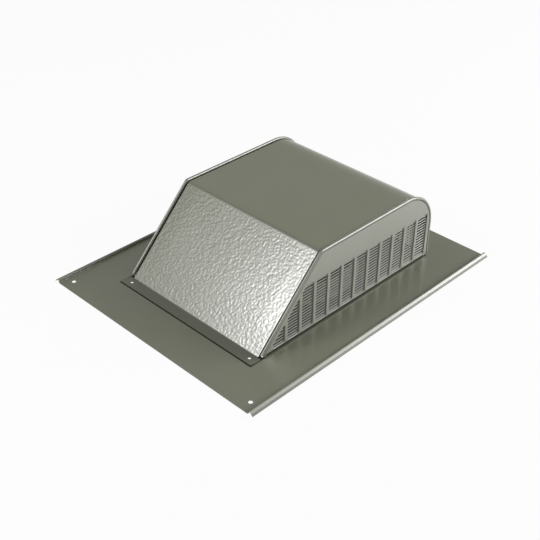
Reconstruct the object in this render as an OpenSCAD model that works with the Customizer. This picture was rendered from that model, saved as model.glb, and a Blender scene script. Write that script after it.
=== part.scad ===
/* [Flashing] */
// Width of the flashing across the roof, over both water ribs
flashing_w = 414; // [396:1:480]
// Length of the flashing up and down the roof
flashing_l = 508; // [490:1:600]
// Thickness of the sheet that every piece is pressed from
sheet_t = 0.7; // [0.5:0.05:0.9]
// Width of the raised water rib along each side edge
rib_w = 12; // [9:0.5:15]
// Height of the water rib above the sheet
rib_h = 3.1; // [2:0.1:4]
// Width of the steep outer face of the water rib
rib_face_w = 3; // [2:0.25:4.5]
// Diameter of the nail holes near the upper corners
nail_hole_d = 6.3; // [4:0.1:8]
// Distance of the nail holes from the side edges
nail_inset_x = 21.5; // [20:0.5:38]
// Distance of the nail holes from the upper edge
nail_inset_y = 17.5; // [10:0.5:30]

/* [Throat] */
// Inside diameter of the round throat
throat_d = 203.2; // [150:0.2:210]
// Height of the throat collar above the flashing
collar_h = 26; // [12:0.5:40]
// Width of the collar's foot flange
collar_foot_w = 9; // [6:0.5:12]
// Radius of the rolled rim at the top of the collar
collar_rim_r = 1.6; // [1:0.1:2.5]
// Distance of the throat's centre from the upper edge of the flashing
throat_y = 276; // [272:0.5:290]

/* [Hood] */
// Width of the hood over the wired side edges
hood_w = 274; // [268:0.2:296]
// Height of the hood's top sheet above the flashing
hood_h = 118.8; // [105:0.2:140]
// Distance from the flashing's upper edge to the foot of the slanted back
hood_y = 85; // [65:0.5:100]
// Length of the hood from the foot of the slanted back to its front
hood_l = 361; // [350:0.5:380]
// Length of roof covered by the slanted back
slant_run = 114.8; // [90:0.2:130]
// Radius of the bend between the slanted back and the top
bend_r = 3; // [1.5:0.1:6]
// Radius of the round nose between the top and the front
nose_r = 59.5; // [40:0.5:64]
// Depth of the nailing flange below the slanted back
flange_l = 18.5; // [14:0.5:30]
// Distance of the nailing flange's ends from the sides of the hood
flange_end = 0.8; // [0:0.2:6]
// Diameter of the holes in the nailing flange
flange_hole_d = 4.8; // [3:0.1:6]
// Distance of these holes from the ends of the nailing flange
flange_hole_x = 13; // [8:0.2:30]
// Distance of these holes from the foot of the slanted back
flange_hole_y = 8.5; // [7:0.1:10]
// How far the hood sheet laps down over the front louver
front_lap = 8; // [5:0.5:12]

/* [Side seam] */
// Diameter of the wired edge that runs round each side
wire_edge_d = 3.6; // [2.8:0.1:4.4]
// Height of the wired edge above the hood sheet
wire_edge_h = 2.8; // [2:0.1:3.2]
// How far the wired edge stands out from the side sheet
wire_edge_out = 0.8; // [0.4:0.1:1.2]
// Width of the open groove between the wired edge and the hood sheet
groove_w = 2.8; // [1.5:0.1:4]
// Depth of that groove
groove_d = 3; // [2:0.1:4]
// Depth of the lap flange below the groove
seam_lap = 3.8; // [3:0.1:6]
// Width of the hem that the side sheet turns out on the flashing
hem_w = 2.6; // [2:0.1:6]
// Distance of the hem's ends from the slanted back and the front
hem_end = 7; // [4:0.5:12]
// Width of the foot that each louver sheet turns in on the flashing
foot_w = 12; // [6:0.5:14]

/* [Louvers] */
// Length of one slot
slot_l = 21.9; // [16:0.1:24]
// Width of the plain rib between two columns of slots
column_rib_w = 6; // [4:0.5:10]
// Distance from slat to slat
row_pitch = 4.74; // [3.6:0.02:5.6]
// Height of the plain rail below the slots
rail_h = 5.8; // [4:0.2:12]
// Height of the plain apron above the slots of the sides
apron_h = 41.8; // [30:0.2:60]
// Distance of the slots from the lap flange of the side seam
slot_gap = 1.1; // [1:0.1:6]
// Depth of the pressed pocket that holds a column of slats
pocket_d = 3; // [2.6:0.1:5]
// How far the slats sit back from the face of the sheet
slat_setback = 1.2; // [0.6:0.1:1.4]
// Width of a slat's blade
slat_w = 2.1; // [1.6:0.1:2.6]
// Thickness of a slat
slat_t = 0.6; // [0.4:0.05:0.8]
// Angle of a slat below the horizontal
slat_angle = 40; // [25:1:55]

/* [Hidden] */
finish = "#7f8176";
smooth = 96;
cut = 1;
weld = 0.3;
fit_gap = 0.3;
least_bend_r = 0.5;
count_slack = 0.001;
knee_swell = 0.05;

// The origin is the middle of the flashing's underside. Y runs down the roof.
upper_edge_y = -flashing_l / 2;
slant_foot_y = upper_edge_y + hood_y;
front_y = slant_foot_y + hood_l;
throat_at = [0, upper_edge_y + throat_y, 0];
slant_angle = atan2(hood_h, slant_run);
nose_centre = [front_y - nose_r, hood_h - nose_r];

// Half widths across the roof, from the outside in.
hood_x = hood_w / 2;
side_out_x = hood_x - wire_edge_out;
side_in_x = side_out_x - sheet_t;
cover_x = hood_x - wire_edge_d - groove_w;
foot_in_x = side_in_x - foot_w;

// Depths below the hood sheet of the groove's ledge and of the lap flange.
ledge_d = groove_d + sheet_t;
lap_d = ledge_d + seam_lap;
slot_margin = lap_d + slot_gap;
wire_r = wire_edge_d / 2;
wire_rise = wire_edge_h - wire_r;

// Each field of slots fills the room that its sheet has for whole columns and rows.
column_pitch = slot_l + column_rib_w;
slot_end_y = front_y - slot_margin;
columns = whole((slot_end_y - slant_y(rail_h, -slot_margin) + column_rib_w) / column_pitch);
rows = whole((hood_h - apron_h - rail_h) / row_pitch);
front_slot_x = cover_x - sheet_t - slot_margin;
front_columns = whole((2 * front_slot_x + column_rib_w) / column_pitch);
front_rows = whole((nose_centre[1] - front_lap - sheet_t - fit_gap - rail_h) / row_pitch);

// The hood sheet ends just above the front slots, and the front louver slips in behind it.
cover_end_z = rail_h + front_rows * row_pitch + sheet_t + fit_gap;
front_louver_h = cover_end_z + front_lap;
front_louver_y = front_y - sheet_t;

blade = slat_w * [cos(slat_angle), sin(slat_angle)];
slat_edge_t = slat_t / cos(slat_angle);

// Whole number of copies that fit.
function whole(copies) = floor(copies + count_slack);

// Y of the slanted back at height z above the flashing, moved outwards by grow.
function slant_y(z, grow) = slant_foot_y + z / tan(slant_angle) - grow / sin(slant_angle);

// Radius and centre of the bend above the slanted back, on an outline moved outwards by grow.
function bend_radius(grow) = max(bend_r + grow, least_bend_r);
function bend_centre(grow) =
    let (drop = grow - bend_radius(grow))
    [slant_y(hood_h + drop, drop), hood_h + drop];

// Side outline of the hood sheet, moved outwards by grow and carried down to height z0.
module hood_outline(grow, z0 = 0) {
    bend = bend_centre(grow);
    polygon([
        [slant_y(z0, grow), z0],
        bend + bend_radius(grow) * [-sin(slant_angle), cos(slant_angle)],
        bend + [0, bend_radius(grow)],
        nose_centre + [0, nose_r + grow],
        nose_centre,
        nose_centre + [nose_r + grow, 0],
        [front_y + grow, z0]
    ]);
    translate(bend) circle(r = bend_radius(grow), $fn = smooth);
    translate(nose_centre) intersection() {
        circle(r = nose_r + grow, $fn = smooth);
        square(nose_r + grow + cut);
    }
}

// Stands a side outline on the flashing and makes it thick from x0 to x1.
module across(x0, x1) {
    translate([x0, 0, sheet_t]) rotate([90, 0, 90]) linear_extrude(x1 - x0) children();
}

// Stands a front outline on the flashing and makes it thick from y0 to y1.
module along(y0, y1) {
    translate([0, y1, sheet_t]) rotate([90, 0, 0]) linear_extrude(y1 - y0) children();
}

// Strip of sheet that follows the hood's outline between two offsets from it.
module hood_strip(x0, x1, inner, outer) {
    across(x0, x1) difference() {
        hood_outline(outer);
        hood_outline(inner, -cut);
    }
}

// Flat strip of sheet lying on the flashing.
module foot_strip(x0, x1, y0, y1) {
    translate([x0, y0, sheet_t]) cube([x1 - x0, y1 - y0, sheet_t]);
}

// Everything below the end of the hood sheet at the front.
module front_bay(top) {
    translate([-hood_x - cut, nose_centre[0], sheet_t - cut])
        cube([hood_w + 2 * cut, nose_r + wire_edge_h, top + cut]);
}

module both_sides() {
    children();
    mirror([1, 0, 0]) children();
}

module nail_hole() {
    translate([flashing_w / 2 - nail_inset_x, upper_edge_y + nail_inset_y, -cut])
        cylinder(h = sheet_t + 2 * cut, d = nail_hole_d, $fn = 32);
}

module flange_hole() {
    translate([hood_x - flange_end - flange_hole_x, slant_foot_y - flange_hole_y, -cut])
        cylinder(h = 2 * sheet_t + 2 * cut, d = flange_hole_d, $fn = 32);
}

// One water rib: a long gentle rise and a steep outer face.
module water_rib() {
    rise_w = rib_w - rib_face_w;
    translate([flashing_w / 2 - rib_w, -upper_edge_y, 0]) rotate([90, 0, 0]) linear_extrude(flashing_l)
        polygon([
            [0, 0], [rise_w, rib_h], [rib_w, 0],
            [rib_w, sheet_t], [rise_w, rib_h + sheet_t], [0, sheet_t]
        ]);
}

module flashing() color(finish) {
    flat_w = flashing_w - 2 * rib_w;
    difference() {
        translate([-flat_w / 2, upper_edge_y, 0]) cube([flat_w, flashing_l, sheet_t]);
        translate(throat_at + [0, 0, -cut])
            cylinder(h = sheet_t + 2 * cut, r = throat_d / 2 + sheet_t, $fn = smooth);
        both_sides() {
            nail_hole();
            flange_hole();
        }
    }
    both_sides() water_rib();
}

// Spun ring that passes through the flashing and stands on its foot flange.
module throat_collar() color(finish) {
    throat_r = throat_d / 2;
    top_z = sheet_t + collar_h;
    translate(throat_at) rotate_extrude($fn = smooth) {
        translate([throat_r, 0]) square([sheet_t, top_z - collar_rim_r]);
        translate([throat_r, sheet_t]) square([collar_foot_w, sheet_t]);
        translate([throat_r + collar_rim_r, top_z - collar_rim_r]) circle(r = collar_rim_r, $fn = 32);
    }
}

// One folded sheet: slanted back, top, nose and front, with a joggled lap along each side.
module hood_cover() color(finish) {
    flange_x = hood_x - flange_end;
    flange_y = slant_foot_y - flange_l;
    difference() {
        union() {
            hood_strip(-cover_x, cover_x, -sheet_t, 0);
            both_sides() side_joggle(0);
        }
        front_bay(cover_end_z);
    }
    difference() {
        union() {
            foot_strip(-flange_x, flange_x, flange_y, slant_y(0, wire_edge_h) - fit_gap);
            foot_strip(-cover_x, cover_x, flange_y, slant_y(0, -sheet_t));
        }
        both_sides() flange_hole();
    }
}

// Edge of a cover sheet whose face is at the offset top: down, out and down on the side sheet.
module side_joggle(top) {
    hood_strip(cover_x - sheet_t, cover_x, -ledge_d, top);
    hood_strip(cover_x - sheet_t, side_in_x, -ledge_d, -groove_d);
    hood_strip(side_in_x - sheet_t, side_in_x, -lap_d, -groove_d);
}

// Sheet rolled round a wire, as a round edge that follows the hood's outline.
module wired_edge() {
    top_z = hood_h + wire_rise;
    knee = [slant_y(top_z, wire_rise), top_z];
    difference() {
        translate([hood_x - wire_r, 0, sheet_t]) rotate([90, 0, 90]) {
            wire_run([slant_y(-wire_edge_d, wire_rise), -wire_edge_d], knee);
            translate(knee) sphere(r = wire_r + knee_swell, $fn = 32);
            wire_run(knee, [nose_centre[0], top_z]);
            translate(nose_centre) rotate_extrude(angle = 90, $fn = smooth)
                translate([nose_r + wire_rise, 0]) circle(r = wire_r, $fn = 32);
            wire_run([front_y + wire_rise, nose_centre[1]], [front_y + wire_rise, -wire_edge_d]);
        }
        translate([0, slant_foot_y - hood_y, sheet_t - 2 * wire_edge_d])
            cube([hood_w, hood_y + 2 * hood_l, 2 * wire_edge_d]);
    }
}

module wire_run(from, to) {
    run = to - from;
    translate(from) rotate([0, 0, atan2(run[1], run[0])]) rotate([0, 90, 0])
        cylinder(h = norm(run), r = wire_r, $fn = 32);
}

// Openings of the side's slot columns, cut off along the slanted back.
module side_windows(grow) {
    clear = grow - slot_margin;
    intersection() {
        for (i = [0 : columns - 1])
            translate([slot_end_y - slot_l - i * column_pitch - grow, rail_h - grow])
                square([slot_l + 2 * grow, rows * row_pitch + 2 * grow]);
        polygon([
            [slant_y(0, clear), 0], [slant_y(hood_h, clear), hood_h],
            [front_y, hood_h], [front_y, 0]
        ]);
    }
}

module front_windows(grow) {
    field_w = front_columns * column_pitch - column_rib_w;
    for (i = [0 : front_columns - 1])
        translate([i * column_pitch - field_w / 2 - grow, rail_h - grow])
            square([slot_l + 2 * grow, front_rows * row_pitch + 2 * grow]);
}

// Rows of slats that face +X, with the face of their sheet at x = 0.
module slat_rows(count, length) {
    low = -(blade[1] + slat_edge_t) / 2;
    translate([0, 0, sheet_t]) rotate([90, 0, 0]) linear_extrude(length, center = true)
        for (row = [0 : count - 1])
            translate([-slat_setback, rail_h + (row + 0.5) * row_pitch + low])
                polygon([
                    [0, 0], [0, slat_edge_t],
                    [-blade[0], blade[1] + slat_edge_t], [-blade[0], blade[1]]
                ]);
}

module side_louver_right() color(finish) {
    pocket_in_x = side_in_x - pocket_d;
    across(side_in_x, side_out_x) difference() {
        hood_outline(wire_rise);
        side_windows(0);
    }
    across(pocket_in_x, side_out_x) difference() {
        side_windows(sheet_t);
        side_windows(0);
    }
    intersection() {
        translate([side_out_x, slant_foot_y + hood_l / 2, 0]) slat_rows(rows, hood_l);
        across(pocket_in_x, side_out_x) side_windows(weld);
    }
    wired_edge();
    foot_strip(side_in_x, side_out_x + hem_w, slant_foot_y + hem_end, front_y - hem_end);
    foot_strip(foot_in_x, side_out_x, slant_y(0, -lap_d) + fit_gap, front_y - lap_d - fit_gap);
}

module side_louver_left() {
    mirror([1, 0, 0]) side_louver_right();
}

module front_louver() color(finish) {
    pocket_in_y = front_louver_y - sheet_t - pocket_d;
    tongue_x = cover_x - sheet_t - fit_gap;
    foot_x = foot_in_x - fit_gap;
    along(front_louver_y - sheet_t, front_louver_y) difference() {
        union() {
            translate([-cover_x, 0]) square([2 * cover_x, cover_end_z - fit_gap]);
            translate([-tongue_x, 0]) square([2 * tongue_x, front_louver_h]);
        }
        front_windows(0);
    }
    along(pocket_in_y, front_louver_y) difference() {
        front_windows(sheet_t);
        front_windows(0);
    }
    intersection() {
        translate([0, front_louver_y, 0]) rotate([0, 0, 90]) slat_rows(front_rows, 2 * cover_x);
        along(pocket_in_y, front_louver_y) front_windows(weld);
    }
    intersection() {
        both_sides() side_joggle(-sheet_t);
        front_bay(cover_end_z - fit_gap);
    }
    foot_strip(-foot_x, foot_x, front_louver_y - sheet_t - foot_w, front_louver_y);
}

flashing();
throat_collar();
hood_cover();
side_louver_left();
side_louver_right();
front_louver();
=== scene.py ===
"""Looks of a slant-back roof louver, dressed round its packed sheet-metal parts."""

import logging
import math
from collections.abc import Callable, Sequence
from dataclasses import dataclass
from enum import Enum
from typing import Any, ClassVar

import bmesh
import bpy
from mathutils import Matrix, Vector
from mathutils.geometry import delaunay_2d_cdt


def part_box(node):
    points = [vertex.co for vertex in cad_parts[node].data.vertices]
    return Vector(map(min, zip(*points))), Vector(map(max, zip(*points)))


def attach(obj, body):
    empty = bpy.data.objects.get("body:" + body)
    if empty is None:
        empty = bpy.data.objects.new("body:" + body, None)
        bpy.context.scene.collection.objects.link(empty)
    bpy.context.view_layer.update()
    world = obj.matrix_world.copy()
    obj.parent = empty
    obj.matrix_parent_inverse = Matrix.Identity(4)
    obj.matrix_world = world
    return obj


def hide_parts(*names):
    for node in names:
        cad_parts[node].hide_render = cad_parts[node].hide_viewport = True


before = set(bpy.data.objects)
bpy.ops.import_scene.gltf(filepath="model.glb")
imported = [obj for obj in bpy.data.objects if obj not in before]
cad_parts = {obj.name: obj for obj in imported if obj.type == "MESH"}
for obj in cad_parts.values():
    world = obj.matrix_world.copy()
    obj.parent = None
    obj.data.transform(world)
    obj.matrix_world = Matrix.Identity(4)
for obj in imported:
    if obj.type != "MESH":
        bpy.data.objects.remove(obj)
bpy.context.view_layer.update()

LOG = logging.getLogger("roof_louver")
MM = 0.001
BODY = "root"
WELD_M = 1e-6
NOUGHT = 1e-12
HAIR = 0.1 * MM
SMOOTH_ANGLE = math.radians(38)
SHEET_T = 0.7 * MM
BEND_STEPS = 5
WORK_ATTRIBUTES = ("grain", "wave", "length")
WHITE = (1.0, 1.0, 1.0, 1.0)

Point = tuple[float, float]
Place = tuple[float, float, float]


class Stretch(Enum):
    """The straight and round stretches of the hood's side outline, from its foot to its front."""

    SLANT = "slant"
    BEND = "bend"
    TOP = "top"
    NOSE = "nose"
    FRONT = "front"


class Side(Enum):
    """A side of the hood, and the sign of its X."""

    RIGHT = 1
    LEFT = -1


def linear(colour: str) -> tuple[float, float, float, float]:
    """Turns an sRGB hex colour into a linear one.

    Args:
        colour: Six hex digits after a hash sign.

    Returns:
        Red, green, blue and an alpha of 1.
    """
    shares = [int(colour[i : i + 2], 16) / 255 for i in (1, 3, 5)]
    return (*(s / 12.92 if s <= 0.04045 else ((s + 0.055) / 1.055) ** 2.4 for s in shares), 1.0)


def add(tree: bpy.types.NodeTree, kind: str, settings: dict | None = None) -> Any:
    """Adds a node with its settings and links.

    Args:
        tree: The node tree that takes the node.
        kind: The node's type.
        settings: Values by property name, or by the name or number of an input. A value that is a
            socket, or a node that stands for its first output, is linked to the input.

    Returns:
        The new node.
    """
    node = tree.nodes.new(kind)
    for key, value in (settings or {}).items():
        if isinstance(value, bpy.types.Node):
            value = value.outputs[0]
        if isinstance(value, bpy.types.NodeSocket):
            tree.links.new(value, node.inputs[key])
        elif isinstance(key, int) or key in node.inputs:
            node.inputs[key].default_value = value
        else:
            setattr(node, key, value)
    return node


def cleared(owner: Any) -> bpy.types.NodeTree:
    """Turns on the nodes of a material or a world and empties its tree.

    Args:
        owner: The material or the world.

    Returns:
        The empty tree.
    """
    owner.use_nodes = True
    owner.node_tree.nodes.clear()
    return owner.node_tree


def swing(start: Vector, end: Vector, angle: float, share: float) -> Vector:
    """Turns an arm by a share of the angle to another arm that is as long."""
    a, b = math.sin((1 - share) * angle), math.sin(share * angle)
    return (start * a + end * b) / math.sin(angle)


def fillet(points: Sequence[Point], radius: float, steps: int) -> list[Point]:
    """Rounds the inner corners of an open line.

    Args:
        points: The line's corners.
        radius: Radius of each round, in the points' unit.
        steps: Straight pieces that a round is made of.

    Returns:
        The points of the rounded line.
    """
    line = [Vector(p) for p in points]
    made = [tuple(line[0])]
    for before, corner, after in zip(line, line[1:], line[2:]):
        back, ahead = (before - corner).normalized(), (after - corner).normalized()
        half = back.angle(ahead) / 2
        centre = corner + (back + ahead).normalized() * (radius / math.sin(half))
        reach = radius / math.tan(half)
        start, end = corner + back * reach - centre, corner + ahead * reach - centre
        sweep = math.pi - 2 * half
        made += [tuple(centre + swing(start, end, sweep, i / steps)) for i in range(steps + 1)]
    made.append(tuple(line[-1]))
    return made


def spaced(low: float, high: float, step: float) -> list[float]:
    """Evenly spaced values from low to high, both included, about a step apart."""
    count = max(1, math.ceil((high - low) / step))
    return [low + (high - low) * i / count for i in range(count + 1)]


def ease(value: float, width: float) -> float:
    """Rises smoothly from 0 to 1 as a value goes from 0 to a width."""
    share = min(1.0, max(0.0, value / width))
    return share * share * (3 - 2 * share)


def stations(steps: Sequence[float]) -> list[tuple[Stretch, float]]:
    """Evenly spaced places along the hood's outline, without the very first.

    Args:
        steps: For each stretch in turn, how far apart the places are as a share of the stretch.

    Returns:
        The stretch and the share of each place.
    """
    return [
        (stretch, share) for stretch, step in zip(Stretch, steps) for share in spaced(0.0, 1.0, step)[1:]
    ]


@dataclass(frozen=True)
class NailingFlange:
    """The hood's nailing flange, whose two holes go through the flashing too."""

    length: float = 18.5 * MM
    hole: Point = (123.2 * MM, -177.5 * MM)
    hole_d: float = 4.8 * MM


@dataclass(frozen=True)
class SideFold:
    """The fold along each side of the hood and of its front: down, out along a groove, and down."""

    cover_x: float = 130.6 * MM
    lap_x: float = 135.45 * MM
    groove_d: float = 3.0 * MM
    lap_d: float = 7.5 * MM
    edge_r: float = 1.1 * MM
    steps: int = 4

    @property
    def flat_x(self) -> float:
        """Half the width of the flat face between the two folds."""
        return self.cover_x - self.edge_r

    def line(self, sunk: float) -> list[Point]:
        """The right-hand fold, from the flat face to the end of its lap.

        Args:
            sunk: How far the face already lies below the hood's.

        Returns:
            X and depth of the fold's points.
        """
        groove, lap = self.groove_d - sunk, self.lap_d - sunk
        corners = [
            (self.flat_x - self.edge_r, 0.0), (self.cover_x, 0.0), (self.cover_x, groove),
            (self.lap_x, groove), (self.lap_x, lap),
        ]
        return fillet(corners, self.edge_r, self.steps)[1:]


@dataclass(frozen=True)
class HoodOutline:
    """Side outline of the hood sheet's outer face, with Y down the roof and Z up, in metres."""

    foot_y: float
    front_y: float
    base_z: float
    top_z: float
    slant_run: float = 114.8 * MM
    bend_r: float = 7.0 * MM
    nose_r: float = 59.5 * MM
    least_bend_r: float = 0.5 * MM

    @property
    def slant(self) -> float:
        """Angle of the slanted back above the roof."""
        return math.atan2(self.top_z - self.base_z, self.slant_run)

    @property
    def nose_centre(self) -> Vector:
        """Centre of the round nose."""
        return Vector((self.front_y - self.nose_r, self.top_z - self.nose_r))

    def slant_y(self, z: float, out: float) -> float:
        """Y of the slanted back at a height, moved outwards."""
        rise = z - self.base_z
        return self.foot_y + rise / math.tan(self.slant) - out / math.sin(self.slant)

    def point(self, stretch: Stretch, share: float, out: float, low_z: float) -> Vector:
        """A point of the outline moved outwards.

        Args:
            stretch: The stretch that the point is on.
            share: How far along the stretch it is, from 0 at the foot's end to 1.
            out: Distance outwards from the outline.
            low_z: Height at which the slanted back starts, or at which the front ends.

        Returns:
            Its Y and Z.
        """
        radius = max(self.bend_r + out, self.least_bend_r)
        drop = out - radius
        bend = Vector((self.slant_y(self.top_z + drop, drop), self.top_z + drop))
        nose_r = self.nose_r + out
        if stretch is Stretch.SLANT:
            foot = Vector((self.slant_y(low_z, out), low_z))
            return foot.lerp(bend + radius * Vector((-math.sin(self.slant), math.cos(self.slant))), share)
        if stretch is Stretch.BEND:
            angle = self.slant * (1 - share)
            return bend + radius * Vector((-math.sin(angle), math.cos(angle)))
        if stretch is Stretch.TOP:
            return Vector((bend[0], self.top_z + out)).lerp(self.nose_centre + Vector((0, nose_r)), share)
        if stretch is Stretch.NOSE:
            angle = share * math.pi / 2
            return self.nose_centre + nose_r * Vector((math.sin(angle), math.cos(angle)))
        front = self.nose_centre + Vector((nose_r, 0))
        return front.lerp(Vector((front[0], low_z)), share)


class SheetMesh:
    """Collects the faces of one pressed sheet's outer side."""

    def __init__(self) -> None:
        """Starts an empty sheet."""
        self.bm = bmesh.new()

    def patch(self, rows: Sequence[Sequence[Sequence[float]]]) -> None:
        """Adds a grid of faces.

        Args:
            rows: Rows of as many points each.
        """
        made = [[self.bm.verts.new(point) for point in row] for row in rows]
        for low, high in zip(made, made[1:]):
            for i in range(len(low) - 1):
                self.bm.faces.new((low[i], low[i + 1], high[i + 1], high[i]))

    def bands(self, rings: Sequence[Sequence[Sequence[float]]]) -> None:
        """Adds closed bands of faces from each ring of points to the next."""
        self.patch([[*ring, ring[0]] for ring in rings])

    def triangles(self, points: Sequence[Sequence[float]], faces: Sequence[Sequence[int]]) -> None:
        """Adds separate faces.

        Args:
            points: Their corners.
            faces: The numbers of each face's corners.
        """
        made = [self.bm.verts.new(point) for point in points]
        for face in faces:
            self.bm.faces.new([made[i] for i in face])

    def finish(
        self, name: str, outside: Vector, masks: dict[str, Callable[[Vector], float]]
    ) -> bpy.types.Object:
        """Welds the sheet and makes it an object.

        Args:
            name: The object's name.
            outside: A direction that most of the sheet's faces look towards.
            masks: Functions of a point, by the name of the attribute that keeps their values.

        Returns:
            The object, linked to the scene.
        """
        bmesh.ops.remove_doubles(self.bm, verts=self.bm.verts, dist=WELD_M)
        bmesh.ops.recalc_face_normals(self.bm, faces=self.bm.faces)
        if sum(face.normal.dot(outside) * face.calc_area() for face in self.bm.faces) < 0:
            bmesh.ops.reverse_faces(self.bm, faces=self.bm.faces)
        for key, mask in masks.items():
            layer = self.bm.verts.layers.float.new(key)
            for vert in self.bm.verts:
                vert[layer] = mask(vert.co)
        mesh = bpy.data.meshes.new(name)
        self.bm.to_mesh(mesh)
        self.bm.free()
        return linked(name, mesh)


def linked(name: str, data: Any) -> bpy.types.Object:
    """Makes an object and links it to the scene.

    Args:
        name: Its name.
        data: Its mesh, curve, lamp or camera.

    Returns:
        The object.
    """
    made = bpy.data.objects.new(name, data)
    bpy.context.scene.collection.objects.link(made)
    return made


def bake(made: bpy.types.Object, place: Matrix | None = None, mirrored: bool = False) -> bpy.types.Object:
    """Turns an object with live modifiers into one with a plain mesh at the origin.

    Args:
        made: The object, which is removed.
        place: Where its mesh goes.
        mirrored: True to mirror the placed mesh from the right side to the left.

    Returns:
        The new object, under the old one's name.
    """
    name = made.name
    bpy.context.view_layer.update()
    result = made.evaluated_get(bpy.context.evaluated_depsgraph_get())
    mesh = bpy.data.meshes.new_from_object(result)
    bpy.data.objects.remove(made)
    mesh.transform(place or Matrix.Identity(4))
    if mirrored:
        mesh.transform(Matrix.Diagonal((-1, 1, 1, 1)))
        mesh.flip_normals()
    for key in WORK_ATTRIBUTES:
        if key in mesh.attributes:
            mesh.attributes.remove(mesh.attributes[key])
    mesh.shade_smooth()
    mesh.set_sharp_from_angle(angle=SMOOTH_ANGLE)
    mesh.name = name
    return linked(name, mesh)


def coat(made: bpy.types.Object, material: bpy.types.Material, where: Callable[[Vector], bool]) -> None:
    """Gives another finish to a part of a baked piece, which in this script always paints shade.

    Args:
        made: The piece.
        material: The other finish.
        where: Says whether a face with a certain middle gets it.
    """
    made.data.materials.append(material)
    for face in made.data.polygons:
        if where(face.center):
            face.material_index = len(made.data.materials) - 1


class NodeRecipe:
    """A Geometry Nodes tree with named inputs, built once and given to modifiers."""

    SOCKETS = {"Material": "NodeSocketMaterial", "Rows": "NodeSocketInt", "Columns": "NodeSocketInt"}

    def __init__(self, name: str, inputs: Sequence[str]) -> None:
        """Starts a tree.

        Args:
            name: The tree's name.
            inputs: Names of its inputs after the geometry. Material is always the last one.
        """
        self.tree = bpy.data.node_groups.new(name, "GeometryNodeTree")
        face = self.tree.interface
        face.new_socket("Geometry", in_out="INPUT", socket_type="NodeSocketGeometry")
        self.identifiers = {}
        for key in (*inputs, "Material"):
            kind = self.SOCKETS.get(key, "NodeSocketFloat")
            self.identifiers[key] = face.new_socket(key, in_out="INPUT", socket_type=kind).identifier
        face.new_socket("Geometry", in_out="OUTPUT", socket_type="NodeSocketGeometry")
        self.put = add(self.tree, "NodeGroupInput").outputs

    def close(self, geometry: Any) -> None:
        """Ends the tree with real geometry in the piece's material.

        Args:
            geometry: The node that makes the geometry.
        """
        real = add(self.tree, "GeometryNodeRealizeInstances", {0: geometry})
        dressed = add(self.tree, "GeometryNodeSetMaterial", {
            "Geometry": real, "Material": self.put["Material"],
        })
        add(self.tree, "NodeGroupOutput", {0: dressed})

    def apply(self, made: bpy.types.Object, values: dict[str, Any]) -> None:
        """Adds the tree to an object as a modifier.

        Args:
            made: The object.
            values: Values of the tree's inputs by name, which are set by their identifiers.
        """
        modifier = made.modifiers.new(self.tree.name, "NODES")
        modifier.node_group = self.tree
        for key, value in values.items():
            modifier[self.identifiers[key]] = value


class PressedSurface(NodeRecipe):
    """Moves a sheet's points along their normals: a pebbled roller grain and slow oil-can waves.

    The waves only rise, so that a sheet which lies on another never sinks into it.
    """

    DETAIL = 1.0
    TWIST = 0.6
    VALLEY = 0.34
    CREST = 0.66
    INPUTS = ("Grain width", "Grain depth", "Wave length", "Wave depth")

    def __init__(self) -> None:
        """Builds the tree."""
        super().__init__("pressed_surface", self.INPUTS)
        grain, grain_mask = self.field("Grain width", "grain", self.DETAIL, self.TWIST)
        shaped = add(self.tree, "ShaderNodeMapRange", {
            "interpolation_type": "SMOOTHSTEP", 0: grain, 1: self.VALLEY, 2: self.CREST, 3: -0.5, 4: 0.5,
        })
        wave, wave_mask = self.field("Wave length", "wave", 0.0, 0.0)
        rises = [
            self.product(shaped, self.put["Grain depth"], grain_mask),
            self.product(wave, self.put["Wave depth"], wave_mask),
        ]
        rise = add(self.tree, "ShaderNodeMath", {"operation": "ADD", 0: rises[0], 1: rises[1]})
        normal = add(self.tree, "GeometryNodeInputNormal")
        offset = add(self.tree, "ShaderNodeVectorMath", {"operation": "SCALE", 0: normal, "Scale": rise})
        self.close(add(self.tree, "GeometryNodeSetPosition", {
            "Geometry": self.put["Geometry"], "Offset": offset,
        }))

    def product(self, value: Any, depth: Any, mask: Any) -> Any:
        """Multiplies a field by its depth and its mask."""
        deep = add(self.tree, "ShaderNodeMath", {"operation": "MULTIPLY", 0: value, 1: depth})
        return add(self.tree, "ShaderNodeMath", {"operation": "MULTIPLY", 0: deep, 1: mask})

    def field(self, width: str, mask: str, detail: float, twist: float) -> tuple[Any, Any]:
        """A noise field and its mask.

        Args:
            width: Name of the input that holds the field's width.
            mask: Name of the attribute that says where it shows.
            detail: Octaves of finer noise.
            twist: Distortion of the noise.

        Returns:
            The nodes of the noise and of the mask.
        """
        position = add(self.tree, "GeometryNodeInputPosition")
        scale = add(self.tree, "ShaderNodeMath", {"operation": "DIVIDE", 0: 1.0, 1: self.put[width]})
        noise = add(self.tree, "ShaderNodeTexNoise", {
            "Detail": detail, "Distortion": twist, "Vector": position, "Scale": scale,
        })
        shown = add(self.tree, "GeometryNodeInputNamedAttribute", {"data_type": "FLOAT", "Name": mask})
        return noise, shown


class RolledEdge(NodeRecipe):
    """Sweeps a round section along a path, as a sheet's edge rolled over a wire."""

    SIDES = 16

    def __init__(self) -> None:
        """Builds the tree."""
        super().__init__("rolled_edge", ("Wire radius",))
        section = add(self.tree, "GeometryNodeCurvePrimitiveCircle", {
            "Resolution": self.SIDES, "Radius": self.put["Wire radius"],
        })
        self.close(add(self.tree, "GeometryNodeCurveToMesh", {
            "Curve": self.put["Geometry"], "Profile Curve": section, "Fill Caps": True,
        }))


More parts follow.
